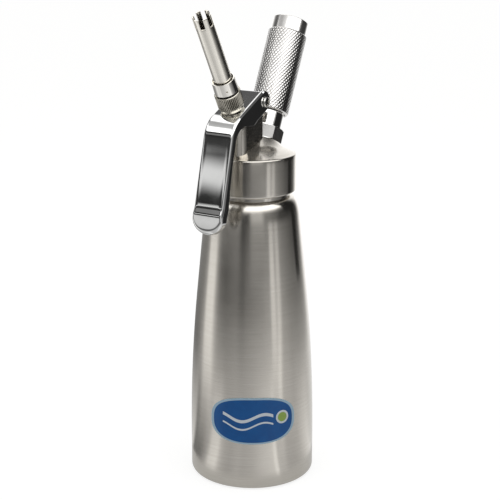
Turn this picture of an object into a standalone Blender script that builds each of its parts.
"""Whipped cream dispenser: steel bottle, screw-on head, squeeze lever, nozzle and gas charger holder.

Metres, +Z up. The origin is the centre of the bottle's flat base. The nozzle leans to -X and the
charger holder to +X, both in the XZ plane, and the lever hangs on the -X side.
Every piece is a closed solid of its own. Turned pieces stand along the Z axis of their own frame,
and the frames stand on the joint axes.
"""
import bpy
import bmesh
from math import ceil, cos, hypot, pi, radians, sin, sqrt, tan
from mathutils import Matrix, Vector

# Fits shared by all pieces
SEAT_GAP = 0.0003
RUNNING_GAP = 0.0003
OVERRUN = 0.002
WELD = 0.000002
LARGE_SIDES = 40
MEDIUM_SIDES = 28
SMALL_SIDES = 20
PORT_SIDES = 10
TUBE_SIDES = 36
COIL_POINTS = 8
SMOOTH_ANGLE = radians(35)

# Bottle
BODY_RADIUS = 0.04075
BASE_FILLET = 0.0032
BODY_STRAIGHT_HEIGHT = 0.025
TAPER_START_RADIUS = 0.0359
TAPER_START_HEIGHT = 0.125
SHOULDER_RADIUS = 0.031
SHOULDER_LENGTH = 0.014
NECK_RADIUS = 0.024
NECK_FOOT_HEIGHT = 0.189
NECK_HEIGHT = 0.0202
BOTTLE_WALL = 0.0012
BODY_CONTROL_SHARE = 0.5
SHOULDER_CONTROL_SHARE = 0.91

# Label badge on the bottle
LABEL_WIDTH = 0.058
LABEL_HEIGHT = 0.0315
LABEL_THICKNESS = 0.00035
LABEL_CENTRE_HEIGHT = 0.0480
LABEL_TURN = radians(-148.5)
LABEL_ROUNDNESS = 2.6
LABEL_RIM_POINTS = 26
LABEL_ROWS = 6

# Screw joint between head and bottle
HEAD_PITCH = 0.004
HEAD_TOOTH = 0.0013
HEAD_CREST = 0.0010
HEAD_FLANK = 0.0008
THREAD_CLEARANCE = 0.0005

# Head shell
SKIRT_RADIUS = 0.0283
SKIRT_FOOT_GAP = 0.0029
SKIRT_EDGE = 0.0012
ROOF_THICKNESS = 0.0047
DECK_RISE = 0.0063
GASKET_THICKNESS = 0.0019
GASKET_REACH = 0.0050

# Valve, along the nozzle axis, which crosses the bottle's axis at the valve seat
VALVE_LEAN = radians(30.0)
VALVE_SEAT_DROP = 0.0048
SPIGOT_RADIUS = 0.0083
PRODUCT_BORE_RADIUS = 0.0050
PRODUCT_BORE_LENGTH = 0.0140
SPRING_BORE_RADIUS = 0.0057
HOUSING_DROP = 0.00247
HOUSING_HALF_WIDTH = 0.0072
HOUSING_WALL = 0.0019
BUSH_LENGTH = 0.0070
STEM_RADIUS = 0.0035
STEM_BORE_RADIUS = 0.0025
STEM_PORT_RADIUS = 0.0011
STEM_FLANGE_THICKNESS = 0.0015
SEAL_THICKNESS = 0.0012
SEAL_RADIUS = 0.0074
O_RING_WIRE_RADIUS = 0.00045
VALVE_WIRE_RADIUS = 0.0005
VALVE_SPRING_COILS = 7
COLLAR_RADIUS = 0.0072
COLLAR_THICKNESS = 0.0014
PAD_WIDTH = 0.0013
PAD_HALF_LENGTH = 0.0010
PAD_HEIGHT = 0.0013

# Adapter nut and nozzle on the stem
NUT_RADIUS = 0.00825
NUT_LENGTH = 0.0100
NUT_CHAMFER = 0.0003
NUT_HUB_RADIUS = 0.0074
NUT_HUB_LENGTH = 0.0019
NUT_RECESS_WALL = 0.0010
NOZZLE_SPIGOT_RADIUS = 0.0048
NOZZLE_SPIGOT_LENGTH = 0.0062
NOZZLE_FLANK_SHARE = 0.3
NOZZLE_PITCH = 0.0015
NOZZLE_TOOTH = 0.0007
NOZZLE_SEAL_THICKNESS = 0.0018
NOZZLE_SEAL_SHOWN = 0.0011
NOZZLE_COLLAR_RADIUS = 0.0077
NOZZLE_COLLAR_TOP_RADIUS = 0.0074
NOZZLE_COLLAR_LENGTH = 0.0088
NOZZLE_CUP_DEPTH = 0.0034
NOZZLE_CUP_WALL = 0.0008
NOZZLE_VENT_RADIUS = 0.00045
TUBE_RADIUS = 0.0058
TUBE_WALL = 0.0008
TUBE_LENGTH = 0.0495
TUBE_SLOTS = 6
TUBE_SLOT_WIDTH = 0.0028
TUBE_SLOT_DEPTH = 0.0066
TUBE_SLOT_TURN = radians(22)

# Lever and its pivot
PIVOT_X = -0.0014
PIVOT_RISE = 0.0380
PIVOT_DEPTH = 0.00734
PIVOT_RADIUS = 0.0020
PIVOT_BOSS_RADIUS = 0.0048
PIVOT_HEAD_RADIUS = 0.0033
PIVOT_HEAD_THICKNESS = 0.0018
PIVOT_SLOT_WIDTH = 0.0008
PIVOT_SLOT_TURN = radians(60)
PIVOT_NUT_FLATS = 0.0070
PIVOT_NUT_THICKNESS = 0.0022
LEVER_HALF_WIDTH = 0.0107
LEVER_WALL = 0.0015
LEVER_PLATE = 0.0020
LEVER_FILLET = 0.0020
EAR_RADIUS = 0.0055
PLATE_SLOPE = radians(23.5)
PLATE_RUN = 0.0290
PLATE_END_SET = 0.0005
PLATE_END_STEP = 0.0003
EAR_EDGE = 0.0004
BEND_RADIUS = 0.0190
HANDLE_LEAN = radians(15.0)
HANDLE_RUN = 0.0430
KICK_LEAN = radians(27.0)
KICK_RUN = 0.0072
TIP_LEAN = radians(6.0)
TIP_RUN = 0.0100
PLATE_HOLE_RADIUS = 0.0055
LEVER_DEPTH_SHARES = {
    "plate": ((0.0, 1.0), (0.46, 1.0), (0.62, 1.06), (0.82, 0.80)),
    "bend": ((0.0, 0.57), (0.2, 0.53), (0.4, 0.49), (0.6, 0.45), (0.8, 0.40)),
    "handle": ((0.0, 0.36), (0.33, 0.36), (0.66, 0.42), (1.0, 0.53)),
    "kick": ((0.5, 0.55), (1.0, 0.54)),
}
TIP_DEPTH_SHARE = 0.40
TIP_TURNS = [radians(turn) for turn in (60, 42, 28, 15, 6, 0)]
EAR_TURNS = [radians(turn) for turn in (0, 18, 36, 60, 90)]

# Charger side, along the holder axis, which crosses the bottle's axis at its own height
CHARGER_LEAN = radians(27.3)
CHARGER_CROSSING_DROP = 0.0136
BOSS_START = 0.0266
BOSS_RADIUS = 0.0128
BOSS_SPOT_FACE_RADIUS = 0.0136
FLARE_SAG = 1.5
STUB_RADIUS = 0.0060
STUB_LENGTH = 0.0067
HEX_FLATS = 0.0220
HEX_LENGTH = 0.0090
HEX_CHAMFER = 0.0008
VALVE_NECK_RADIUS = 0.0103
VALVE_NECK_LENGTH = 0.0101
HOLDER_PITCH = 0.002
HOLDER_TOOTH = 0.0007
HOLDER_THREAD_LENGTH = 0.0085
HOLDER_FLANK_SHARE = 0.3
GAS_BORE_RADIUS = 0.0012
GAS_PORT_RADIUS = 0.0015
GAS_PORT_X = 0.0090
CHECK_BORE_RADIUS = 0.0036
CHECK_BORE_LENGTH = 0.0106
CHECK_BALL_RADIUS = 0.0026
GAS_BORE_LENGTH = 0.0022
CHECK_WIRE_RADIUS = 0.0003
CHECK_SPRING_COILS = 3
CHECK_SPRING_RADIUS = 0.0022
RETAINER_THICKNESS = 0.0015
WASHER_REACH = 0.0020
WASHER_THICKNESS = 0.0013
PIN_RADIUS = 0.0015
PIN_BORE_RADIUS = 0.0005
PIN_TIP_RADIUS = 0.0008
PIN_LENGTH = 0.0087
PIN_POINT = 0.0022
PIERCING_SEAL_THICKNESS = 0.0017
PIERCE_DEPTH = 0.0017

# Charger holder and the charger in it
SLEEVE_RADIUS = 0.0127
SLEEVE_BAND_RADIUS = 0.0118
SLEEVE_BAND_LENGTH = 0.0090
SLEEVE_END_WALL = 0.0034
SLEEVE_EDGE = 0.0006
CHARGER_NECK_RADIUS = 0.0037
CHARGER_NECK_LENGTH = 0.0080
CHARGER_CONE_LENGTH = 0.0090
CHARGER_EDGE = 0.0006
CHARGER_DOME_LENGTH = 0.0055
CHARGER_RADIUS = 0.0089
CHARGER_LENGTH = 0.0652
CHARGER_WALL = 0.0011
CHARGER_HOLE_RADIUS = 0.0019

COLOURS = {
    "brushed_steel": ((0.62, 0.60, 0.57), 0.32, 1.0),
    "satin_steel": ((0.78, 0.75, 0.70), 0.35, 1.0),
    "polished_steel": ((0.80, 0.80, 0.80), 0.08, 1.0),
    "spring_steel": ((0.55, 0.55, 0.55), 0.25, 1.0),
    "brass": ((0.74, 0.58, 0.30), 0.28, 1.0),
    "dark_rubber": ((0.03, 0.03, 0.03), 0.75, 0.0),
    "pale_silicone": ((0.80, 0.78, 0.74), 0.60, 0.0),
    "badge": ((0.00, 0.10, 0.34), 0.30, 0.0),
    "charger_steel": ((0.70, 0.70, 0.70), 0.30, 1.0),
}


# Heights that follow from the neck: the head, its two axes and its pivot stand on the bottle's lip
SHOULDER_HEIGHT = NECK_FOOT_HEIGHT - SHOULDER_LENGTH
LIP_HEIGHT = NECK_FOOT_HEIGHT + NECK_HEIGHT
CEILING_HEIGHT = LIP_HEIGHT + SEAT_GAP + GASKET_THICKNESS + SEAT_GAP
SKIRT_FOOT_HEIGHT = NECK_FOOT_HEIGHT + SKIRT_FOOT_GAP
SKIRT_TOP_HEIGHT = CEILING_HEIGHT + ROOF_THICKNESS
VALVE_SEAT_HEIGHT = CEILING_HEIGHT - VALVE_SEAT_DROP
CHARGER_CROSSING_HEIGHT = CEILING_HEIGHT - CHARGER_CROSSING_DROP
PIVOT_HEIGHT = CEILING_HEIGHT + PIVOT_RISE


# Frames: a local Z axis standing on each joint's axis
def leaning_frame(height, lean):
    """A frame on the bottle's axis at a height, its Z axis leaning by an angle towards +X."""
    return Matrix.Translation((0, 0, height)) @ Matrix.Rotation(lean, 4, "Y")


UPRIGHT = Matrix.Identity(4)
VALVE_FRAME = leaning_frame(VALVE_SEAT_HEIGHT, -VALVE_LEAN)
CHARGER_FRAME = leaning_frame(CHARGER_CROSSING_HEIGHT, CHARGER_LEAN)
PIVOT_FRAME = Matrix.Translation((PIVOT_X, 0, PIVOT_HEIGHT)) @ Matrix.Rotation(radians(90), 4, "X")

# Sizes that follow from the sizes above
NECK_THREAD_START = NECK_FOOT_HEIGHT + HEAD_PITCH / 2
NECK_BORE_RADIUS = NECK_RADIUS - BOTTLE_WALL
NECK_CREST_RADIUS = NECK_RADIUS + HEAD_TOOTH
HEAD_BORE_RADIUS = NECK_CREST_RADIUS + THREAD_CLEARANCE
HEAD_CREST_RADIUS = HEAD_BORE_RADIUS - HEAD_TOOTH
BUSH_START = PRODUCT_BORE_LENGTH + SEAT_GAP
SPRING_START = BUSH_START + BUSH_LENGTH + SEAT_GAP
PLATE_TILT = VALVE_LEAN - PLATE_SLOPE
PLATE_DOWN = pi / 2 - PLATE_SLOPE
LEVER_DEPTH = PIVOT_DEPTH + EAR_RADIUS
PIVOT_ALONG = VALVE_FRAME.inverted() @ Vector((PIVOT_X, 0, PIVOT_HEIGHT))
HOUSING_LENGTH = PIVOT_ALONG.z - HOUSING_DROP


def plate_crossing(depth):
    """Where a plane at this distance above the pivot, and parallel to the plate, cuts the valve axis."""
    return PIVOT_ALONG.z + (depth + PIVOT_ALONG.x * sin(PLATE_TILT)) / cos(PLATE_TILT)


PLATE_UNDERSIDE = plate_crossing(PIVOT_DEPTH - LEVER_PLATE)
PLATE_TOP = plate_crossing(PIVOT_DEPTH)
PAD_TOP = PLATE_UNDERSIDE - SEAT_GAP - PAD_HALF_LENGTH * tan(PLATE_TILT)
COLLAR_TOP = PAD_TOP - PAD_HEIGHT
COLLAR_START = COLLAR_TOP - COLLAR_THICKNESS
NUT_START = PLATE_TOP + NUT_RADIUS * tan(PLATE_TILT) + SEAT_GAP
NUT_TOP = NUT_START + NUT_HUB_LENGTH + NUT_LENGTH
STEM_TOP = NUT_TOP - NUT_LENGTH / 3
NOZZLE_COLLAR_START = NUT_TOP + NOZZLE_SEAL_SHOWN
NOZZLE_COLLAR_TOP = NOZZLE_COLLAR_START + NOZZLE_COLLAR_LENGTH
NOZZLE_SEAL_START = NOZZLE_COLLAR_START - SEAT_GAP - NOZZLE_SEAL_THICKNESS
NUT_RECESS_FLOOR = NOZZLE_SEAL_START - SEAT_GAP
NOZZLE_THREAD_START = NUT_TOP + NOZZLE_PITCH / 3
NOZZLE_SPIGOT_TOP = NUT_TOP + NOZZLE_SPIGOT_LENGTH
NOZZLE_CREST_RADIUS = NOZZLE_SPIGOT_RADIUS + NOZZLE_TOOTH
NOZZLE_BORE_RADIUS = NOZZLE_CREST_RADIUS + RUNNING_GAP
TUBE_BORE_RADIUS = TUBE_RADIUS - TUBE_WALL
TUBE_SOCKET_RADIUS = TUBE_RADIUS + SEAT_GAP
HEX_START = BOSS_START + SEAT_GAP
STUB_START = BOSS_START - STUB_LENGTH
STUB_BORE_RADIUS = STUB_RADIUS + SEAT_GAP
HEX_CORNER_RADIUS = HEX_FLATS / 2 / cos(radians(30))
HEX_TOP = HEX_START + HEX_LENGTH
VALVE_NECK_TOP = HEX_TOP + VALVE_NECK_LENGTH
VALVE_BODY_TOP = VALVE_NECK_TOP + HOLDER_THREAD_LENGTH + OVERRUN / 4
HOLDER_ROOT_RADIUS = VALVE_NECK_RADIUS - HOLDER_TOOTH
SLEEVE_THREAD_RADIUS = VALVE_NECK_RADIUS + RUNNING_GAP
RETAINER_START = STUB_START + SEAT_GAP
CHECK_SEAT = STUB_START + CHECK_BORE_LENGTH
PIN_STEP = CHECK_SEAT + GAS_BORE_LENGTH
PIN_START = PIN_STEP + SEAT_GAP
PIN_TIP = PIN_START + PIN_LENGTH
CHARGER_START = PIN_TIP - PIERCE_DEPTH
PIERCING_SEAL_START = CHARGER_START - SEAT_GAP - PIERCING_SEAL_THICKNESS
CUP_FLOOR = PIERCING_SEAL_START - SEAT_GAP
CUP_RADIUS = CHARGER_NECK_RADIUS + 2 * SEAT_GAP
CHARGER_END = CHARGER_START + CHARGER_LENGTH
SLEEVE_START = VALVE_NECK_TOP
SLEEVE_BORE_RADIUS = CHARGER_RADIUS + RUNNING_GAP
SLEEVE_FLOOR = CHARGER_END + SEAT_GAP
SLEEVE_END = SLEEVE_FLOOR + SLEEVE_END_WALL
SLEEVE_KNURL_END = SLEEVE_END - SLEEVE_BAND_LENGTH


# Shape helpers
def remove_old_objects():
    for old in list(bpy.data.objects):
        bpy.data.objects.remove(old, do_unlink=True)


def material(name, finish):
    """A piece's own material, in one of the finishes."""
    colour, roughness, metallic = COLOURS[finish]
    made = bpy.data.materials.new(name)
    made.use_nodes = True
    shader = made.node_tree.nodes["Principled BSDF"]
    shader.inputs["Base Color"].default_value = (*colour, 1.0)
    shader.inputs["Roughness"].default_value = roughness
    shader.inputs["Metallic"].default_value = metallic
    made.diffuse_color = (*colour, 1.0)
    return made


def solid(name, shape, frame, finish):
    """Turn a bmesh into a closed, smooth-shaded object placed by its frame."""
    bmesh.ops.remove_doubles(shape, verts=shape.verts, dist=WELD)
    bmesh.ops.dissolve_degenerate(shape, dist=WELD, edges=shape.edges)
    bmesh.ops.recalc_face_normals(shape, faces=shape.faces)
    mesh = bpy.data.meshes.new(name)
    shape.to_mesh(mesh)
    shape.free()
    mesh.shade_smooth()
    mesh.set_sharp_from_angle(angle=SMOOTH_ANGLE)
    made = bpy.data.objects.new(name, mesh)
    made.matrix_world = frame
    bpy.context.scene.collection.objects.link(made)
    made.data.materials.append(material(name, finish))
    return made


def skin_rings(shape, rings, closed_ends=True):
    """Join neighbouring closed rings of vertices with faces. A ring of one vertex is a pole."""
    for lower, upper in zip(rings, rings[1:]):
        count = max(len(lower), len(upper))
        for i in range(count):
            j = (i + 1) % count
            corners = [lower[i % len(lower)], lower[j % len(lower)], upper[j % len(upper)],
                       upper[i % len(upper)]]
            corners = list(dict.fromkeys(corners))
            if len(corners) > 2:
                shape.faces.new(corners)
    if closed_ends:
        for ring in (rings[0], rings[-1]):
            if len(ring) > 2:
                shape.faces.new(ring)


def turned(name, section, frame, finish, sides=MEDIUM_SIDES):
    """Carry a closed section of (radius, height) points round the Z axis. Points at radius 0 are poles."""
    shape = bmesh.new()
    turns = [2 * pi * i / sides for i in range(sides)]
    rings = []
    for radius, height in section:
        if radius == 0:
            rings.append([shape.verts.new((0, 0, height))])
        else:
            rings.append([shape.verts.new((radius * cos(t), radius * sin(t), height)) for t in turns])
    skin_rings(shape, [*rings, rings[0]], closed_ends=False)
    return solid(name, shape, frame, finish)


def ring_section(inner, outer, start, end):
    return [(inner, start), (outer, start), (outer, end), (inner, end)]


def rod_section(radius, start, end):
    return [(0, start), (radius, start), (radius, end), (0, end)]


def screw_points(start, end, base, crest, pitch, crest_width, flank, share):
    """One column of a thread's section at a share of a turn, from start up to end.

    The tooth rises from the base radius to the crest radius over each flank. It climbs one pitch in
    a turn and fades out over a third of a pitch at both ends."""
    fade = pitch / 3
    root = (pitch - crest_width - 2 * flank) / 2
    steps = ((root, 0.0), (root + flank, 1.0), (root + flank + crest_width, 1.0), (pitch - root, 0.0))
    points = []
    for turn in range(-1, ceil((end - start) / pitch) + 1):
        for offset, rise in steps:
            height = min(max(start + pitch * (turn + share) + offset, start), end)
            room = min(height - start, end - height) / fade
            points.append((base + (crest - base) * rise * min(room, 1.0), height))
    return points


def threaded(name, below, thread, above, frame, finish, sides, phase=0.0):
    """A turned solid with a helical thread between two runs of plain section points.

    The thread's last column meets the first one a whole tooth higher, which closes the helix."""
    shape = bmesh.new()
    per_tooth = 4
    columns = []
    for i in range(sides):
        share = i / sides
        turn = 2 * pi * (share + phase)
        points = [*below, *screw_points(*thread, share), *above]
        columns.append([shape.verts.new((r * cos(turn), r * sin(turn), z)) for r, z in points])
    first_tooth = len(below)
    after_teeth = len(columns[0]) - len(above)
    size = len(columns[0])
    outline = [*below, *screw_points(*thread, 0), *above]
    for i in range(sides):
        left = columns[i]
        right = columns[(i + 1) % sides]
        shift = per_tooth if i == sides - 1 else 0

        def matching(k):
            if first_tooth <= k < after_teeth:
                return min(k + shift, after_teeth - 1)
            return k

        for k in range(size):
            k_next = (k + 1) % size
            if outline[k][0] == 0 and outline[k_next][0] == 0:
                continue
            corners = [left[k], left[k_next], right[matching(k_next)], right[matching(k)]]
            corners = list(dict.fromkeys(corners))
            if len(corners) > 2:
                shape.faces.new(corners)
        if shift:
            skipped = right[first_tooth:first_tooth + shift + 1]
            for low, high in zip(skipped, skipped[1:]):
                high.co = low.co
    return solid(name, shape, frame, finish)


def prism(name, outline, start, end, frame, finish):
    """Push an outline of (x, y) points from one height to another along the frame's Z axis."""
    shape = bmesh.new()
    lower = [shape.verts.new((x, y, start)) for x, y in outline]
    upper = [shape.verts.new((x, y, end)) for x, y in outline]
    skin_rings(shape, [lower, upper])
    return solid(name, shape, frame, finish)


def coil(name, radius, wire, start, end, coils, frame, finish):
    """A compression spring: one tube along a helix, with half a closed coil at each end."""
    steps = int(coils * COIL_POINTS)
    low = start + wire
    high = end - wire
    lead = (high - low - 2 * (2 * wire)) / (coils - 1)
    centres = []
    for i in range(steps + 1):
        turn = i / COIL_POINTS
        ease_in = min(turn, 0.5) * 4 * wire
        ease_out = max(turn - (coils - 0.5), 0) * 4 * wire
        height = low + ease_in + ease_out + lead * min(max(turn - 0.5, 0), coils - 1)
        centres.append((radius * cos(2 * pi * turn), radius * sin(2 * pi * turn), height))
    bend = bpy.data.curves.new(name, "CURVE")
    bend.dimensions = "3D"
    bend.bevel_depth = wire
    bend.bevel_resolution = 1
    bend.use_fill_caps = True
    line = bend.splines.new("POLY")
    line.points.add(len(centres) - 1)
    for point, centre in zip(line.points, centres):
        point.co = (*centre, 1.0)
    made = bpy.data.objects.new(name, bend)
    made.matrix_world = frame
    bpy.context.scene.collection.objects.link(made)
    bend.materials.append(material(name, finish))
    print(name, "least gap between coils", round(lead - 2 * wire, 5))
    return made


def combine(target, tool, operation):
    """Join or cut a target with a tool, keep the result in the target and drop the tool."""
    step = target.modifiers.new("step", "BOOLEAN")
    step.operation = operation
    step.solver = "EXACT"
    step.object = tool
    bpy.context.view_layer.update()
    result = bpy.data.meshes.new_from_object(target.evaluated_get(bpy.context.evaluated_depsgraph_get()))
    target.modifiers.clear()
    target.data = result
    bpy.data.objects.remove(tool, do_unlink=True)
    shape = bmesh.new()
    shape.from_mesh(result)
    bmesh.ops.remove_doubles(shape, verts=shape.verts, dist=WELD)
    bmesh.ops.dissolve_degenerate(shape, dist=WELD, edges=shape.edges)
    shape.to_mesh(result)
    shape.free()
    return target


def joined(target, *tools):
    for tool in tools:
        combine(target, tool, "UNION")
    return target


def cut(target, *tools):
    for tool in tools:
        combine(target, tool, "DIFFERENCE")
    return target


def drill(radius, start, end, frame, sides=SMALL_SIDES):
    return turned("drill", rod_section(radius, start, end), frame, "brushed_steel", sides)


def stepped_drill(frame, radii, heights):
    """A drill of two radii. The heights are its start, its step and its end."""
    small, large = radii
    start, step, end = heights
    section = [(0, start), (small, start), (small, step), (large, step), (large, end), (0, end)]
    return turned("drill", section, frame, "brushed_steel", SMALL_SIDES)


def arc_points(centre, radius, first, last, steps):
    """Points on an arc about a centre, from one angle to another."""
    turns = [first + (last - first) * i / steps for i in range(steps + 1)]
    return [(centre[0] + radius * cos(t), centre[1] + radius * sin(t)) for t in turns]


def bezier(first, control, last, steps):
    """Points on a quadratic curve that leaves first and reaches last towards a control point."""
    points = []
    for i in range(steps + 1):
        t = i / steps
        points.append(tuple((1 - t) ** 2 * a + 2 * t * (1 - t) * b + t * t * c
                            for a, b, c in zip(first, control, last)))
    return points


# Bottle
def body_outline():
    """The bottle's outer (radius, height) line from the base up to the foot of the neck."""
    fillet = arc_points((BODY_RADIUS - BASE_FILLET, BASE_FILLET), BASE_FILLET, -pi / 2, 0, 4)
    control_height = BODY_STRAIGHT_HEIGHT + (TAPER_START_HEIGHT - BODY_STRAIGHT_HEIGHT) * BODY_CONTROL_SHARE
    belly = bezier((BODY_RADIUS, BODY_STRAIGHT_HEIGHT), (BODY_RADIUS, control_height),
                   (TAPER_START_RADIUS, TAPER_START_HEIGHT), 7)
    slope = (TAPER_START_RADIUS - SHOULDER_RADIUS) / (SHOULDER_HEIGHT - TAPER_START_HEIGHT)
    corner_height = SHOULDER_HEIGHT + (NECK_FOOT_HEIGHT - SHOULDER_HEIGHT) * SHOULDER_CONTROL_SHARE
    corner_radius = SHOULDER_RADIUS - slope * (corner_height - SHOULDER_HEIGHT)
    shoulder = bezier((SHOULDER_RADIUS, SHOULDER_HEIGHT), (corner_radius, corner_height),
                      (NECK_RADIUS, NECK_FOOT_HEIGHT), 6)
    return [*fillet, *belly, *shoulder]


def inset_line(points, distance):
    """Move each point of an open line to its left by a distance, square to the line."""
    moved = []
    for i, (x, y) in enumerate(points):
        ax, ay = points[max(i - 1, 0)]
        bx, by = points[min(i + 1, len(points) - 1)]
        length = hypot(bx - ax, by - ay)
        moved.append((x - (by - ay) / length * distance, y + (bx - ax) / length * distance))
    return moved


def bottle():
    outline = body_outline()
    inner = inset_line(outline[1::2], BOTTLE_WALL)
    below = [(0, 0), *outline]
    neck_thread = (NECK_THREAD_START, LIP_HEIGHT - HEAD_TOOTH / 2, NECK_RADIUS, NECK_CREST_RADIUS,
                   HEAD_PITCH, HEAD_CREST, HEAD_FLANK)
    above = [(NECK_RADIUS, LIP_HEIGHT), (NECK_BORE_RADIUS, LIP_HEIGHT),
             (NECK_BORE_RADIUS, NECK_FOOT_HEIGHT - BOTTLE_WALL), *reversed(inner[:-1]), (0, BOTTLE_WALL)]
    return threaded("bottle", below, neck_thread, above, UPRIGHT, "brushed_steel", LARGE_SIDES)


def body_radius_at(height):
    """The bottle's outer radius at a height, read between the points of its outline."""
    line = body_outline()
    for (r0, z0), (r1, z1) in zip(line, line[1:]):
        if z0 <= height <= z1 and z1 > z0:
            return r0 + (r1 - r0) * (height - z0) / (z1 - z0)
    return BODY_RADIUS


def label_point(share, turn, lift):
    """A place on the badge: a share of the way out from its middle, lifted off the bottle's surface."""
    power = LABEL_ROUNDNESS
    size = (abs(cos(turn)) ** power + abs(sin(turn)) ** power) ** (-1 / power)
    across = share * LABEL_WIDTH / 2 * size * cos(turn)
    height = LABEL_CENTRE_HEIGHT + share * LABEL_HEIGHT / 2 * size * sin(turn)
    radius = body_radius_at(height) + lift
    angle = LABEL_TURN + across / BODY_RADIUS
    return (radius * cos(angle), radius * sin(angle), height)


def label():
    """A curved oval badge. Rings of points follow the bottle's surface at a small gap."""
    shape = bmesh.new()
    skins = []
    for lift in (SEAT_GAP, SEAT_GAP + LABEL_THICKNESS):
        rings = [[shape.verts.new(label_point(0, 0, lift))]]
        for row in range(1, LABEL_ROWS + 1):
            turns = [2 * pi * i / LABEL_RIM_POINTS for i in range(LABEL_RIM_POINTS)]
            rings.append([shape.verts.new(label_point(row / LABEL_ROWS, turn, lift)) for turn in turns])
        skins.append(rings)
    inner, outer = skins
    skin_rings(shape, [*inner, *reversed(outer)], closed_ends=False)
    return solid("label", shape, UPRIGHT, "badge")


def head_gasket():
    outer = HEAD_CREST_RADIUS - SEAT_GAP
    start = LIP_HEIGHT + SEAT_GAP
    section = ring_section(outer - GASKET_REACH, outer, start, start + GASKET_THICKNESS)
    return turned("head_gasket", section, UPRIGHT, "pale_silicone", LARGE_SIDES)


# Head shell
def deck_height(radius):
    """The deck is a shallow dome over the skirt."""
    return SKIRT_TOP_HEIGHT + DECK_RISE * (1 - (radius / (SKIRT_RADIUS - SKIRT_EDGE)) ** 2)


def head_cap():
    edge = SKIRT_EDGE
    foot = arc_points((SKIRT_RADIUS - edge, SKIRT_FOOT_HEIGHT + edge), edge, -pi / 2, 0, 3)
    brim = arc_points((SKIRT_RADIUS - edge, SKIRT_TOP_HEIGHT - edge), edge, 0, pi / 2, 3)
    steps = 6
    deck_shares = [(steps - i) / steps for i in range(1, steps + 1)]
    deck = [((SKIRT_RADIUS - edge) * s, deck_height((SKIRT_RADIUS - edge) * s)) for s in deck_shares]
    section = [(0, SKIRT_FOOT_HEIGHT), *foot, *brim, *deck]
    return turned("head_shell", section, UPRIGHT, "brushed_steel", LARGE_SIDES)


def charger_flare():
    """The deck sweeps up to the charger boss: rings go from the skirt's edge to the boss's tilted top."""
    shape = bmesh.new()
    base_radius = SKIRT_RADIUS - SKIRT_EDGE / 2
    shares = (0.0, 0.2, 0.4, 0.6, 0.8, 1.0)
    rings = []
    floor = []
    for share in shares:
        ring = []
        for i in range(LARGE_SIDES):
            turn = 2 * pi * i / LARGE_SIDES
            round_place = Vector((cos(turn), sin(turn), 0))
            foot = base_radius * round_place + Vector((0, 0, SKIRT_TOP_HEIGHT - SKIRT_EDGE / 4))
            top = CHARGER_FRAME @ (BOSS_RADIUS * round_place + Vector((0, 0, BOSS_START + SEAT_GAP)))
            place = foot.lerp(top, share)
            place.z = foot.z + (top.z - foot.z) * share ** FLARE_SAG
            ring.append(shape.verts.new(place))
            if share == 0:
                floor.append(shape.verts.new((foot.x, foot.y, CEILING_HEIGHT)))
        rings.append(ring)
    skin_rings(shape, [floor, *rings])
    return solid("flare", shape, UPRIGHT, "brushed_steel")


def valve_housing():
    """An upright block round the leaning valve bore: round in front, flat behind, cut square on top."""
    front_edge = VALVE_FRAME @ Vector((-SPRING_BORE_RADIUS - HOUSING_WALL, 0, HOUSING_LENGTH))
    back = PIVOT_X + PIVOT_BOSS_RADIUS - HOUSING_WALL
    front = arc_points((front_edge.x + HOUSING_HALF_WIDTH, 0), HOUSING_HALF_WIDTH, pi / 2, 3 * pi / 2, 12)
    outline = [(back, HOUSING_HALF_WIDTH), *front, (back, -HOUSING_HALF_WIDTH)]
    block = prism("housing", outline, CEILING_HEIGHT + OVERRUN, PIVOT_HEIGHT + PIVOT_BOSS_RADIUS,
                  UPRIGHT, "brushed_steel")
    reach = SKIRT_RADIUS
    above = prism("above", [(-reach, -reach), (reach, -reach), (reach, reach), (-reach, reach)],
                  HOUSING_LENGTH, HOUSING_LENGTH + reach, VALVE_FRAME, "brushed_steel")
    cut(block, above)
    boss_half_width = LEVER_HALF_WIDTH - LEVER_WALL - RUNNING_GAP
    boss = drill(PIVOT_BOSS_RADIUS, -boss_half_width, boss_half_width, PIVOT_FRAME, MEDIUM_SIDES)
    return joined(block, boss)


def head_cavity():
    """The threaded hollow under the deck, as a solid to cut with."""
    start = SKIRT_FOOT_HEIGHT - OVERRUN
    below = [(0, start), (HEAD_BORE_RADIUS, start)]
    thread = (SKIRT_FOOT_HEIGHT + SKIRT_EDGE, LIP_HEIGHT + SEAT_GAP, HEAD_BORE_RADIUS, HEAD_CREST_RADIUS,
              HEAD_PITCH, HEAD_CREST, HEAD_FLANK)
    above = [(HEAD_BORE_RADIUS, CEILING_HEIGHT), (0, CEILING_HEIGHT)]
    phase = ((thread[0] - NECK_THREAD_START) / HEAD_PITCH + 0.5) % 1.0
    return threaded("cavity", below, thread, above, UPRIGHT, "brushed_steel", LARGE_SIDES, phase)


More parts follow.
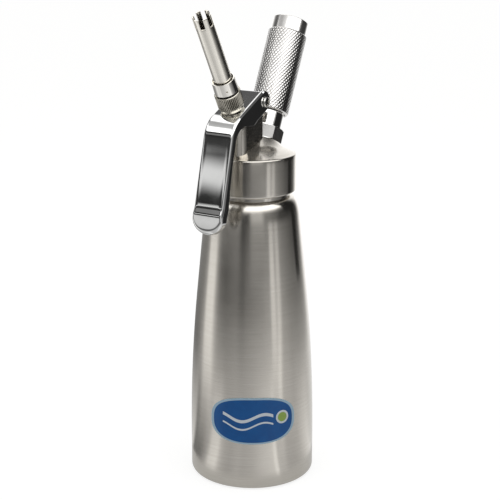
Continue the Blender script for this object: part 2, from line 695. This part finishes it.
def head_shell():
    shell = joined(head_cap(), charger_flare(), valve_housing())
    top = CHARGER_FRAME @ Vector((0, 0, BOSS_START))
    spot_length = hypot(top.x, PIVOT_HEIGHT)
    cut(shell, head_cavity(), drill(BOSS_SPOT_FACE_RADIUS, BOSS_START, BOSS_START + spot_length,
                                    CHARGER_FRAME, LARGE_SIDES))
    ceiling_along = (CEILING_HEIGHT - VALVE_SEAT_HEIGHT) / cos(VALVE_LEAN) + SPIGOT_RADIUS * tan(VALVE_LEAN)
    joined(shell, drill(SPIGOT_RADIUS, 0, ceiling_along + OVERRUN / 2, VALVE_FRAME, MEDIUM_SIDES))
    floor_height = (CHARGER_FRAME @ Vector((0, 0, STUB_START))).z
    port_frame = Matrix.Translation((GAS_PORT_X, 0, 0))
    boss_half_width = LEVER_HALF_WIDTH + OVERRUN
    return cut(
        shell,
        stepped_drill(VALVE_FRAME, (PRODUCT_BORE_RADIUS, SPRING_BORE_RADIUS),
                      (-OVERRUN, PRODUCT_BORE_LENGTH, HOUSING_LENGTH + OVERRUN)),
        stepped_drill(CHARGER_FRAME, (STUB_BORE_RADIUS, STUB_BORE_RADIUS + WASHER_REACH),
                      (STUB_START - SEAT_GAP, BOSS_START - WASHER_THICKNESS - SEAT_GAP, BOSS_START + OVERRUN)),
        drill(GAS_PORT_RADIUS, CEILING_HEIGHT - OVERRUN, floor_height + OVERRUN, port_frame),
        drill(PIVOT_RADIUS + RUNNING_GAP, -boss_half_width, boss_half_width, PIVOT_FRAME),
    )


# Valve on the nozzle axis
def guide_bush():
    section = ring_section(STEM_RADIUS + RUNNING_GAP, SPRING_BORE_RADIUS - RUNNING_GAP, BUSH_START,
                           BUSH_START + BUSH_LENGTH)
    bush = turned("guide_bush", section, VALVE_FRAME, "brass", SMALL_SIDES)
    half = O_RING_WIRE_RADIUS + SEAT_GAP
    middle = BUSH_START + BUSH_LENGTH / 2
    groove_section = ring_section(STEM_RADIUS, STEM_RADIUS + 2 * half, middle - half, middle + half)
    return cut(bush, turned("groove", groove_section, VALVE_FRAME, "brass", SMALL_SIDES))


def stem_o_ring():
    middle = BUSH_START + BUSH_LENGTH / 2
    centre = STEM_RADIUS + SEAT_GAP + O_RING_WIRE_RADIUS
    section = arc_points((centre, middle), O_RING_WIRE_RADIUS, 0, 2 * pi, 6)[:-1]
    return turned("stem_o_ring", section, VALVE_FRAME, "dark_rubber", SMALL_SIDES)


def valve_stem():
    """A hollow rod, shut at its foot, with a flange below the seal and two rows of cross ports."""
    seal_foot = -SEAT_GAP - SEAL_THICKNESS
    flange_top = seal_foot - SEAT_GAP
    foot = flange_top - STEM_FLANGE_THICKNESS
    section = [(0, foot), (SEAL_RADIUS, foot), (SEAL_RADIUS, flange_top), (STEM_RADIUS, flange_top),
               (STEM_RADIUS, STEM_TOP), (STEM_BORE_RADIUS, STEM_TOP), (STEM_BORE_RADIUS, flange_top),
               (0, flange_top)]
    stem = turned("valve_stem", section, VALVE_FRAME, "polished_steel", SMALL_SIDES)
    for place in (PRODUCT_BORE_LENGTH / 3, PRODUCT_BORE_LENGTH * 2 / 3):
        across = VALVE_FRAME @ Matrix.Translation((0, 0, place)) @ Matrix.Rotation(radians(90), 4, "X")
        reach = STEM_RADIUS + OVERRUN
        cut(stem, drill(STEM_PORT_RADIUS, -reach, reach, across, PORT_SIDES))
    return stem


def valve_seal():
    section = ring_section(STEM_RADIUS + SEAT_GAP, SEAL_RADIUS, -SEAT_GAP - SEAL_THICKNESS, -SEAT_GAP)
    return turned("valve_seal", section, VALVE_FRAME, "dark_rubber", SMALL_SIDES)


def valve_spring():
    middle = (STEM_RADIUS + SPRING_BORE_RADIUS) / 2
    return coil("valve_spring", middle, VALVE_WIRE_RADIUS, SPRING_START, COLLAR_START - SEAT_GAP,
                VALVE_SPRING_COILS, VALVE_FRAME, "spring_steel")


def spring_collar():
    """A collar on the stem with two rocker pads that the lever's plate presses."""
    section = ring_section(STEM_RADIUS + SEAT_GAP, COLLAR_RADIUS, COLLAR_START, COLLAR_TOP)
    collar = turned("spring_collar", section, VALVE_FRAME, "polished_steel", MEDIUM_SIDES)
    near = COLLAR_RADIUS - PAD_WIDTH
    far = sqrt(COLLAR_RADIUS ** 2 - PAD_HALF_LENGTH ** 2)
    for side in (-1, 1):
        outline = [(-PAD_HALF_LENGTH, side * near), (PAD_HALF_LENGTH, side * near),
                   (PAD_HALF_LENGTH, side * far), (-PAD_HALF_LENGTH, side * far)]
        pad = prism("pad", outline, COLLAR_TOP - COLLAR_THICKNESS / 2, PAD_TOP, VALVE_FRAME, "polished_steel")
        joined(collar, pad)
    return collar


# Nut and nozzle on the stem
def nozzle_thread(start, end, base, crest):
    """The nozzle's sharp thread: its size, without a flat on the crest."""
    return (start, end, base, crest, NOZZLE_PITCH, 0, NOZZLE_PITCH * NOZZLE_FLANK_SHARE)


def adapter_nut():
    """The ribbed nut on the stem. A threaded spigot on top carries the nozzle."""
    grip = NUT_RADIUS - NUT_CHAMFER
    bore = STEM_RADIUS + SEAT_GAP
    stop = STEM_TOP + SEAT_GAP
    ribs_start = NUT_START + NUT_HUB_LENGTH
    recess = NUT_RADIUS - NUT_RECESS_WALL
    below = [(bore, stop), (bore, NUT_START), (NUT_HUB_RADIUS, NUT_START), (NUT_HUB_RADIUS, ribs_start),
             (grip, ribs_start), (NUT_RADIUS, ribs_start + NUT_CHAMFER), (NUT_RADIUS, NUT_TOP - NUT_CHAMFER),
             (grip, NUT_TOP), (recess, NUT_TOP), (recess, NUT_RECESS_FLOOR),
             (NOZZLE_SPIGOT_RADIUS, NUT_RECESS_FLOOR)]
    above = [(NOZZLE_SPIGOT_RADIUS, NOZZLE_SPIGOT_TOP), (STEM_BORE_RADIUS, NOZZLE_SPIGOT_TOP),
             (STEM_BORE_RADIUS, stop)]
    thread = nozzle_thread(NOZZLE_THREAD_START, NOZZLE_SPIGOT_TOP - NOZZLE_PITCH / 3, NOZZLE_SPIGOT_RADIUS,
                           NOZZLE_CREST_RADIUS)
    return threaded("adapter_nut", below, thread, above, VALVE_FRAME, "satin_steel", MEDIUM_SIDES)


def adapter_seal():
    section = ring_section(NOZZLE_BORE_RADIUS, NUT_RADIUS - NUT_RECESS_WALL - SEAT_GAP, NOZZLE_SEAL_START,
                           NOZZLE_SEAL_START + NOZZLE_SEAL_THICKNESS)
    return turned("adapter_seal", section, VALVE_FRAME, "dark_rubber", MEDIUM_SIDES)


def nozzle_collar():
    """A cup with a threaded foot. The nozzle tube stands on a ledge inside it."""
    start = NOZZLE_COLLAR_START
    top = NOZZLE_COLLAR_TOP
    ledge = NOZZLE_SPIGOT_TOP + SEAT_GAP
    ledge_foot = ledge - NOZZLE_TOOTH
    cup_floor = top - NOZZLE_CUP_DEPTH
    cup_radius = NOZZLE_COLLAR_TOP_RADIUS - NOZZLE_CUP_WALL
    below = [(TUBE_SOCKET_RADIUS, ledge), (TUBE_SOCKET_RADIUS, cup_floor), (cup_radius, cup_floor),
             (cup_radius, top), (NOZZLE_COLLAR_TOP_RADIUS, top), (NOZZLE_COLLAR_RADIUS, start + NUT_CHAMFER),
             (NOZZLE_COLLAR_RADIUS - NUT_CHAMFER, start), (NOZZLE_BORE_RADIUS, start)]
    thread = nozzle_thread(start + NOZZLE_PITCH / 4, ledge_foot - NOZZLE_PITCH / 4, NOZZLE_BORE_RADIUS,
                           NOZZLE_BORE_RADIUS - NOZZLE_TOOTH)
    above = [(NOZZLE_BORE_RADIUS, ledge_foot), (TUBE_BORE_RADIUS, ledge_foot), (TUBE_BORE_RADIUS, ledge)]
    phase = ((thread[0] - NOZZLE_THREAD_START) / NOZZLE_PITCH + 0.5) % 1.0
    collar = threaded("nozzle_collar", below, thread, above, VALVE_FRAME, "polished_steel", MEDIUM_SIDES, phase)
    vent_place = Matrix.Translation((0, 0, cup_floor + NOZZLE_CUP_WALL))
    vent_frame = VALVE_FRAME @ vent_place @ Matrix.Rotation(radians(90), 4, "X")
    return cut(collar, drill(NOZZLE_VENT_RADIUS, cup_radius - OVERRUN / 4, NOZZLE_COLLAR_RADIUS + OVERRUN,
                             vent_frame, PORT_SIDES))


def nozzle_tube():
    """A straight tube whose mouth is cut into fingers."""
    start = NOZZLE_SPIGOT_TOP + 2 * SEAT_GAP
    end = start + TUBE_LENGTH
    section = ring_section(TUBE_BORE_RADIUS, TUBE_RADIUS, start, end)
    tube = turned("nozzle_tube", section, VALVE_FRAME, "satin_steel", TUBE_SIDES)
    half = TUBE_SLOT_WIDTH / 2
    outline = [(0, -half), (TUBE_RADIUS + OVERRUN, -half), (TUBE_RADIUS + OVERRUN, half), (0, half)]
    for i in range(TUBE_SLOTS):
        turn = Matrix.Rotation(TUBE_SLOT_TURN + 2 * pi * i / TUBE_SLOTS, 4, "Z")
        slot = prism("slot", outline, end - TUBE_SLOT_DEPTH, end + OVERRUN, VALVE_FRAME @ turn, "satin_steel")
        cut(tube, slot)
    return tube


# Lever
def along(start, lean_from_down, distance):
    """Go from a point a distance downwards, leaning towards -X by an angle from straight down."""
    return (start[0] - sin(lean_from_down) * distance, start[1] - cos(lean_from_down) * distance)


def lever_stations():
    """Stations down the lever's outer line: each an (x, z) place, an inward direction and a depth.

    The plate runs straight from above the pivot, a bend turns it down, and the handle, a kick and the
    tip follow as straight runs. The inward direction is square to the run."""
    down = PLATE_DOWN
    foot = (PIVOT_X - sin(PLATE_SLOPE) * PIVOT_DEPTH, PIVOT_HEIGHT + cos(PLATE_SLOPE) * PIVOT_DEPTH)
    stations = [(*along(foot, down, PLATE_RUN * s), down, LEVER_DEPTH * d)
                for s, d in LEVER_DEPTH_SHARES["plate"]]
    place = along(foot, down, PLATE_RUN)
    centre = (place[0] + cos(down) * BEND_RADIUS, place[1] - sin(down) * BEND_RADIUS)
    for s, d in LEVER_DEPTH_SHARES["bend"]:
        lean = down + (HANDLE_LEAN - down) * s
        point = (centre[0] - cos(lean) * BEND_RADIUS, centre[1] + sin(lean) * BEND_RADIUS)
        stations.append((*point, lean, LEVER_DEPTH * d))
    place = (centre[0] - cos(HANDLE_LEAN) * BEND_RADIUS, centre[1] + sin(HANDLE_LEAN) * BEND_RADIUS)
    for s, d in LEVER_DEPTH_SHARES["handle"]:
        lean = HANDLE_LEAN if s < 1 else (HANDLE_LEAN + KICK_LEAN) / 2
        stations.append((*along(place, HANDLE_LEAN, HANDLE_RUN * s), lean, LEVER_DEPTH * d))
    place = along(place, HANDLE_LEAN, HANDLE_RUN)
    for s, d in LEVER_DEPTH_SHARES["kick"]:
        lean = KICK_LEAN if s < 1 else (KICK_LEAN + TIP_LEAN) / 2
        stations.append((*along(place, KICK_LEAN, KICK_RUN * s), lean, LEVER_DEPTH * d))
    return stations, along(place, KICK_LEAN, KICK_RUN)


def tip_stations(start, radius, last_share):
    """Stations where the width closes in a half circle of this radius about the lever's end."""
    stations = []
    for turn in TIP_TURNS:
        distance = TIP_RUN - LEVER_HALF_WIDTH + radius * cos(turn)
        share = distance / TIP_RUN
        depth = LEVER_DEPTH * (last_share + (TIP_DEPTH_SHARE - last_share) * share)
        stations.append((*along(start, TIP_LEAN, distance), TIP_LEAN, depth, radius * sin(turn)))
    return stations


def ear_place(offset):
    """A place on the plate's top line, at an offset past the pivot's foot."""
    foot = (PIVOT_X - sin(PLATE_SLOPE) * PIVOT_DEPTH, PIVOT_HEIGHT + cos(PLATE_SLOPE) * PIVOT_DEPTH)
    return along(foot, PLATE_DOWN, -offset)


def lever_sections(wall, roof, extra_depth, fillet):
    """Sections down the lever: place, lean, top depth, bottom depth, half width and corner radius."""
    stations, tip_start = lever_stations()
    last_share = LEVER_DEPTH_SHARES["kick"][-1][1]
    half = LEVER_HALF_WIDTH - wall
    rows = [(x, z, lean, roof, depth + extra_depth, half, fillet) for x, z, lean, depth in stations]
    for x, z, lean, depth, width in tip_stations(tip_start, half, last_share):
        rows.append((x, z, lean, roof, depth + extra_depth, width, fillet))
    return rows


def ear_sections():
    """The side walls end in round ears about the pivot."""
    rows = []
    for turn in EAR_TURNS:
        reach = EAR_RADIUS * sin(turn)
        place = ear_place(EAR_RADIUS * cos(turn))
        rows.append((*place, PLATE_DOWN, PIVOT_DEPTH - reach, PIVOT_DEPTH + reach, LEVER_HALF_WIDTH, EAR_EDGE))
    return rows


def hollow_end_sections():
    """Past the plate's end the hollow between the ears is open at the top too."""
    half = LEVER_HALF_WIDTH - LEVER_WALL
    deep = PIVOT_DEPTH + EAR_RADIUS + OVERRUN
    places = (ear_place(EAR_RADIUS + OVERRUN), ear_place(-PLATE_END_SET))
    return [(*place, PLATE_DOWN, -OVERRUN, deep, half, 0) for place in places]


def lever_loft(name, rows):
    """Skin D-shaped sections: a flat outer face with rounded corners, and straight sides."""
    shape = bmesh.new()
    rings = []
    for x, z, lean, top, bottom, width, fillet in rows:
        corner = min(fillet, width, (bottom - top) / 4)
        left = arc_points((-width + corner, top + corner), corner, pi, 3 * pi / 2, 3)
        right = arc_points((width - corner, top + corner), corner, 3 * pi / 2, 2 * pi, 3)
        outline = [(-width, bottom), *left, *right, (width, bottom)]
        rings.append([shape.verts.new((x + cos(lean) * d, y, z - sin(lean) * d)) for y, d in outline])
    skin_rings(shape, rings)
    return solid(name, shape, UPRIGHT, "polished_steel")


def lever():
    outside = lever_sections(0, 0, 0, LEVER_FILLET)
    outer_first = (*ear_place(-PLATE_END_STEP), *outside[0][2:])
    made = lever_loft("lever", [*ear_sections(), outer_first, *outside[1:]])
    inside = lever_sections(LEVER_WALL, LEVER_PLATE, OVERRUN, 0)
    inner_first = (*ear_place(-PLATE_END_SET - PLATE_END_STEP), *inside[0][2:])
    cut(made, lever_loft("hollow", [*hollow_end_sections(), inner_first, *inside[1:]]))
    reach = LEVER_HALF_WIDTH + OVERRUN
    cut(made, drill(PIVOT_RADIUS + RUNNING_GAP, -reach, reach, PIVOT_FRAME))
    hole_frame = VALVE_FRAME @ Matrix.Translation((0, 0, PLATE_UNDERSIDE)) @ Matrix.Rotation(PLATE_TILT, 4, "Y")
    return cut(made, drill(PLATE_HOLE_RADIUS, -OVERRUN, LEVER_PLATE + OVERRUN, hole_frame))


def pivot_bolt():
    """A slotted screw through both ears. Its frame's Z axis points out of the visible ear."""
    seat = LEVER_HALF_WIDTH + SEAT_GAP
    end = -(seat + PIVOT_NUT_THICKNESS + SEAT_GAP)
    head_top = seat + PIVOT_HEAD_THICKNESS
    section = [(0, end), (PIVOT_RADIUS, end), (PIVOT_RADIUS, seat), (PIVOT_HEAD_RADIUS, seat),
               (PIVOT_HEAD_RADIUS, head_top - PIVOT_SLOT_WIDTH / 2),
               (PIVOT_HEAD_RADIUS - PIVOT_SLOT_WIDTH / 2, head_top), (0, head_top)]
    bolt = turned("pivot_bolt", section, PIVOT_FRAME, "polished_steel", SMALL_SIDES)
    half = PIVOT_SLOT_WIDTH / 2
    reach = PIVOT_HEAD_RADIUS + OVERRUN
    outline = [(-reach, -half), (reach, -half), (reach, half), (-reach, half)]
    slot_frame = PIVOT_FRAME @ Matrix.Rotation(PIVOT_SLOT_TURN, 4, "Z")
    return cut(bolt, prism("slot", outline, head_top - PIVOT_HEAD_THICKNESS / 2, head_top + OVERRUN, slot_frame,
                           "polished_steel"))


def pivot_nut():
    seat = LEVER_HALF_WIDTH + SEAT_GAP
    corner = PIVOT_NUT_FLATS / 2 / cos(radians(30))
    section = rod_section(corner, -seat - PIVOT_NUT_THICKNESS, -seat)
    nut = turned("pivot_nut", section, PIVOT_FRAME, "polished_steel", 6)
    bore_end = seat + PIVOT_NUT_THICKNESS + OVERRUN
    return cut(nut, drill(PIVOT_RADIUS + SEAT_GAP, -bore_end, -seat + OVERRUN, PIVOT_FRAME))


# Charger valve
def charger_valve_body():
    """Hexagon, polished neck and threaded top, bored for the check valve, the pin and the charger's neck."""
    cone_top_radius = HOLDER_ROOT_RADIUS - CHARGER_WALL
    cup_top = CUP_FLOOR + CHARGER_NECK_LENGTH + PIERCING_SEAL_THICKNESS
    bores = [(cone_top_radius, VALVE_BODY_TOP), (CUP_RADIUS, cup_top), (CUP_RADIUS, CUP_FLOOR),
             (PIN_RADIUS + SEAT_GAP, CUP_FLOOR), (PIN_RADIUS + SEAT_GAP, PIN_STEP), (GAS_BORE_RADIUS, PIN_STEP),
             (GAS_BORE_RADIUS, CHECK_SEAT), (CHECK_BORE_RADIUS, CHECK_SEAT), (CHECK_BORE_RADIUS, STUB_START)]
    below = [*bores, (STUB_RADIUS, STUB_START), (STUB_RADIUS, HEX_START + HEX_LENGTH / 2),
             (VALVE_NECK_RADIUS, HEX_START + HEX_LENGTH / 2), (VALVE_NECK_RADIUS, VALVE_NECK_TOP - SEAT_GAP),
             (HOLDER_ROOT_RADIUS, VALVE_NECK_TOP - SEAT_GAP)]
    thread = (VALVE_NECK_TOP, VALVE_BODY_TOP - SEAT_GAP, HOLDER_ROOT_RADIUS, VALVE_NECK_RADIUS,
              HOLDER_PITCH, 0, HOLDER_PITCH * HOLDER_FLANK_SHARE)
    above = [(HOLDER_ROOT_RADIUS, VALVE_BODY_TOP)]
    body = threaded("charger_valve_body", below, thread, above, CHARGER_FRAME, "polished_steel", MEDIUM_SIDES)
    hexagon = drill(HEX_CORNER_RADIUS, HEX_START, HEX_TOP, CHARGER_FRAME, 6)
    chamfer = [(0, HEX_START), (HEX_CORNER_RADIUS - HEX_CHAMFER, HEX_START),
               (HEX_CORNER_RADIUS, HEX_START + HEX_CHAMFER / 2), (HEX_CORNER_RADIUS, HEX_TOP - HEX_CHAMFER / 2),
               (HEX_CORNER_RADIUS - HEX_CHAMFER, HEX_TOP), (0, HEX_TOP)]
    combine(hexagon, turned("chamfer", chamfer, CHARGER_FRAME, "polished_steel", LARGE_SIDES), "INTERSECT")
    hollow = drill((STUB_RADIUS + CHECK_BORE_RADIUS) / 2, HEX_START - OVERRUN, HEX_TOP + OVERRUN, CHARGER_FRAME)
    return joined(body, cut(hexagon, hollow))


def charger_valve_washer():
    """A flat seal round the stub, in a counterbore under the hexagon."""
    section = ring_section(STUB_RADIUS + SEAT_GAP, STUB_BORE_RADIUS + WASHER_REACH - SEAT_GAP,
                           BOSS_START - WASHER_THICKNESS, BOSS_START)
    return turned("charger_valve_washer", section, CHARGER_FRAME, "dark_rubber", MEDIUM_SIDES)


def check_retainer():
    section = ring_section(GAS_BORE_RADIUS, CHECK_BORE_RADIUS - SEAT_GAP, RETAINER_START,
                           RETAINER_START + RETAINER_THICKNESS)
    return turned("check_retainer", section, CHARGER_FRAME, "brass", SMALL_SIDES)


def ball_centre():
    """The ball rests just under the edge of the gas bore."""
    return CHECK_SEAT - sqrt((CHECK_BALL_RADIUS + SEAT_GAP) ** 2 - GAS_BORE_RADIUS ** 2)


def check_ball():
    centre = ball_centre()
    sphere = arc_points((0, centre), CHECK_BALL_RADIUS, -pi / 2, pi / 2, 8)
    section = [(0, centre - CHECK_BALL_RADIUS), *sphere[1:-1], (0, centre + CHECK_BALL_RADIUS)]
    return turned("check_ball", section, CHARGER_FRAME, "polished_steel", SMALL_SIDES)


def check_spring():
    reach = CHECK_BALL_RADIUS + CHECK_WIRE_RADIUS + SEAT_GAP
    top = ball_centre() - sqrt(reach ** 2 - CHECK_SPRING_RADIUS ** 2) + CHECK_WIRE_RADIUS
    start = RETAINER_START + RETAINER_THICKNESS + SEAT_GAP
    return coil("check_spring", CHECK_SPRING_RADIUS, CHECK_WIRE_RADIUS, start, top, CHECK_SPRING_COILS,
                CHARGER_FRAME, "spring_steel")


def piercing_pin():
    shoulder = PIN_TIP - PIN_POINT
    section = [(PIN_BORE_RADIUS, PIN_START), (PIN_RADIUS, PIN_START), (PIN_RADIUS, shoulder),
               (PIN_TIP_RADIUS, PIN_TIP), (PIN_BORE_RADIUS, PIN_TIP)]
    return turned("piercing_pin", section, CHARGER_FRAME, "polished_steel", SMALL_SIDES)


def piercing_seal():
    section = ring_section(PIN_RADIUS + SEAT_GAP, CUP_RADIUS - SEAT_GAP, PIERCING_SEAL_START,
                           PIERCING_SEAL_START + PIERCING_SEAL_THICKNESS)
    return turned("piercing_seal", section, CHARGER_FRAME, "dark_rubber", SMALL_SIDES)


# Charger and its holder
def charger_cartridge():
    """A steel gas charger, already pierced, so its hollow opens at the neck."""
    start = CHARGER_START
    shoulder = start + CHARGER_NECK_LENGTH
    body = shoulder + CHARGER_CONE_LENGTH
    dome_start = CHARGER_END - CHARGER_DOME_LENGTH
    inner_radius = CHARGER_RADIUS - CHARGER_WALL
    inner_neck = CHARGER_NECK_RADIUS - CHARGER_WALL
    floor = start + CHARGER_WALL

    def dome(radius, length):
        return [(radius * cos(t), dome_start + length * sin(t)) for t in (0, pi / 6, pi / 3)]

    section = [(CHARGER_HOLE_RADIUS, start), (CHARGER_NECK_RADIUS - CHARGER_EDGE, start),
               (CHARGER_NECK_RADIUS, start + CHARGER_EDGE), (CHARGER_NECK_RADIUS, shoulder),
               (CHARGER_RADIUS, body), *dome(CHARGER_RADIUS, CHARGER_DOME_LENGTH), (0, CHARGER_END),
               (0, CHARGER_END - CHARGER_WALL),
               *reversed(dome(inner_radius, CHARGER_DOME_LENGTH - CHARGER_WALL)), (inner_radius, body),
               (inner_neck, shoulder), (inner_neck, floor), (CHARGER_HOLE_RADIUS, floor)]
    return turned("charger_cartridge", section, CHARGER_FRAME, "charger_steel", MEDIUM_SIDES)


def holder_sleeve():
    """The knurled sleeve: threaded at its foot, bored for the charger, with a plain band at its end."""
    edge = SLEEVE_EDGE
    thread_end = VALVE_BODY_TOP + OVERRUN / 2
    below = [(0, SLEEVE_FLOOR), (0, SLEEVE_END), (SLEEVE_BAND_RADIUS - edge, SLEEVE_END),
             (SLEEVE_BAND_RADIUS, SLEEVE_END - edge), (SLEEVE_BAND_RADIUS, SLEEVE_KNURL_END),
             (SLEEVE_RADIUS - edge, SLEEVE_KNURL_END), (SLEEVE_RADIUS, SLEEVE_KNURL_END - edge),
             (SLEEVE_RADIUS, SLEEVE_START + edge), (SLEEVE_RADIUS - edge, SLEEVE_START),
             (SLEEVE_THREAD_RADIUS, SLEEVE_START)]
    thread = (SLEEVE_START + SEAT_GAP, thread_end - SEAT_GAP, SLEEVE_THREAD_RADIUS,
              SLEEVE_THREAD_RADIUS - HOLDER_TOOTH, HOLDER_PITCH, 0, HOLDER_PITCH * HOLDER_FLANK_SHARE)
    above = [(SLEEVE_THREAD_RADIUS, thread_end), (SLEEVE_BORE_RADIUS, thread_end + edge),
             (SLEEVE_BORE_RADIUS, SLEEVE_FLOOR)]
    phase = ((thread[0] - VALVE_NECK_TOP) / HOLDER_PITCH + 0.5) % 1.0
    return threaded("holder_sleeve", below, thread, above, CHARGER_FRAME, "brushed_steel", MEDIUM_SIDES, phase)


remove_old_objects()
PIECES = (
    bottle, label, head_gasket, head_shell, guide_bush, stem_o_ring, valve_stem, valve_seal, valve_spring,
    spring_collar, adapter_nut, adapter_seal, nozzle_collar, nozzle_tube, lever, pivot_bolt, pivot_nut,
    charger_valve_body, charger_valve_washer, check_retainer, check_ball, check_spring, piercing_pin,
    piercing_seal, charger_cartridge, holder_sleeve,
)
for make in PIECES:
    print(make().name)
